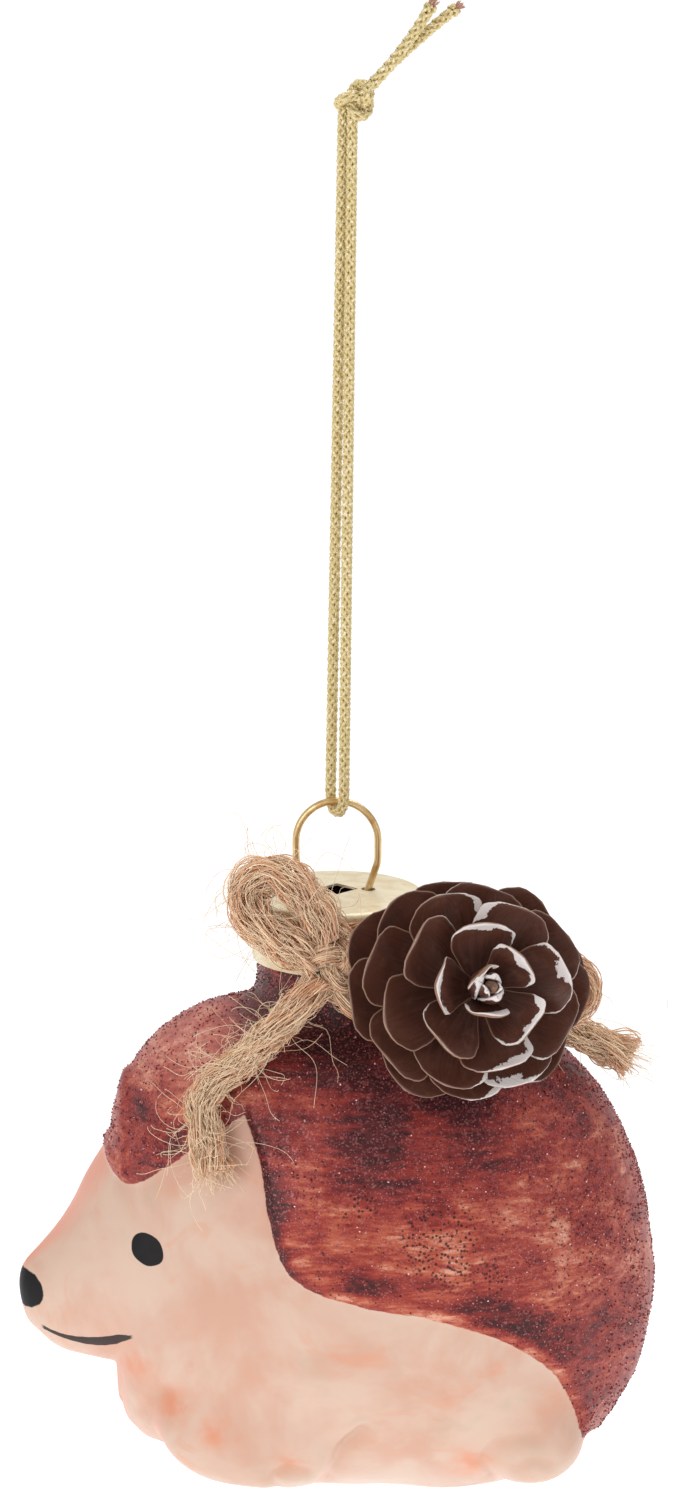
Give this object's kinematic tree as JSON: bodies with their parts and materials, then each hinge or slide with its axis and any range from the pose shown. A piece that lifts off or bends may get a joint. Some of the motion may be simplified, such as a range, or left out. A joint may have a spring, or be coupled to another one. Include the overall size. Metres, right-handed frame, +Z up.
{
  "type": "hanging animal ornament",
  "caption": "Blown-glass hedgehog hanging ornament with a metal cap, wire hanger, cord loop, jute bow and pine cone.",
  "frame": {"origin": "the hang point, inside the cord loop just under its knot", "axes": "+Z up, along the hanging cord; the nose points to -X, the tail to +X, and the pine cone is on the -Y side"},
  "size_m": [0.0896, 0.0666, 0.2121],
  "materials": {
    "painted_glass": "opaque paint on blown glass, satin cream below and glittered brick red above",
    "cap_metal": "thin pressed sheet, pale gold",
    "gold_wire": "bright drawn wire",
    "gold_cord": "braided metallic thread",
    "jute": "twisted natural jute, hairy",
    "cone_wood": "satin brown pine cone scales with pale rims",
    "hot_glue": "milky hot glue"
  },
  "bodies": {
    "cord": {"hanging_cord": "gold_cord", "cord_knot": "gold_cord", "cord_tail_left": "gold_cord", "cord_tail_right": "gold_cord"},
    "hanger": {"hanger_wire": "gold_wire"},
    "cap": {"cap": "cap_metal", "twine_wrap": "jute", "twine_knot": "jute", "twine_left_ear": "jute", "twine_right_ear": "jute", "twine_left_tail": "jute", "twine_right_tail": "jute", "glue_pad": "hot_glue", "cone_axis": "cone_wood", "cone_scale_01": "cone_wood", "cone_scale_02": "cone_wood", "cone_scale_03": "cone_wood", "cone_scale_04": "cone_wood", "cone_scale_05": "cone_wood", "cone_scale_06": "cone_wood", "cone_scale_07": "cone_wood", "cone_scale_08": "cone_wood", "cone_scale_09": "cone_wood", "cone_scale_10": "cone_wood", "cone_scale_11": "cone_wood", "cone_scale_12": "cone_wood", "cone_scale_13": "cone_wood", "cone_scale_14": "cone_wood", "cone_scale_15": "cone_wood", "cone_scale_16": "cone_wood", "cone_scale_17": "cone_wood", "cone_scale_18": "cone_wood", "cone_scale_19": "cone_wood", "cone_scale_20": "cone_wood", "cone_scale_21": "cone_wood", "cone_scale_22": "cone_wood", "cone_scale_23": "cone_wood", "cone_scale_24": "cone_wood", "cone_scale_25": "cone_wood", "cone_scale_26": "cone_wood", "cone_scale_27": "cone_wood", "cone_scale_28": "cone_wood", "cone_scale_29": "cone_wood", "cone_scale_30": "cone_wood"},
    "glass": {"glass_body": "painted_glass"}
  },
  "joints": [
    {"name": "ring_swing", "type": "hinge", "parent": "cord", "child": "hanger", "pos_m": [-0.0015, 0, -0.0973], "axis": [1, 0, 0], "range_deg": [-60, 60]},
    {"name": "cap_rock", "type": "hinge", "parent": "hanger", "child": "cap", "pos_m": [-0.0015, 0, -0.1103], "axis": [1, 0, 0], "range_deg": [-8, 8]},
    {"name": "glass_pull", "type": "slide", "parent": "cap", "child": "glass", "axis": [0, 0, -1], "range_m": [0, 0.025]}
  ]
}
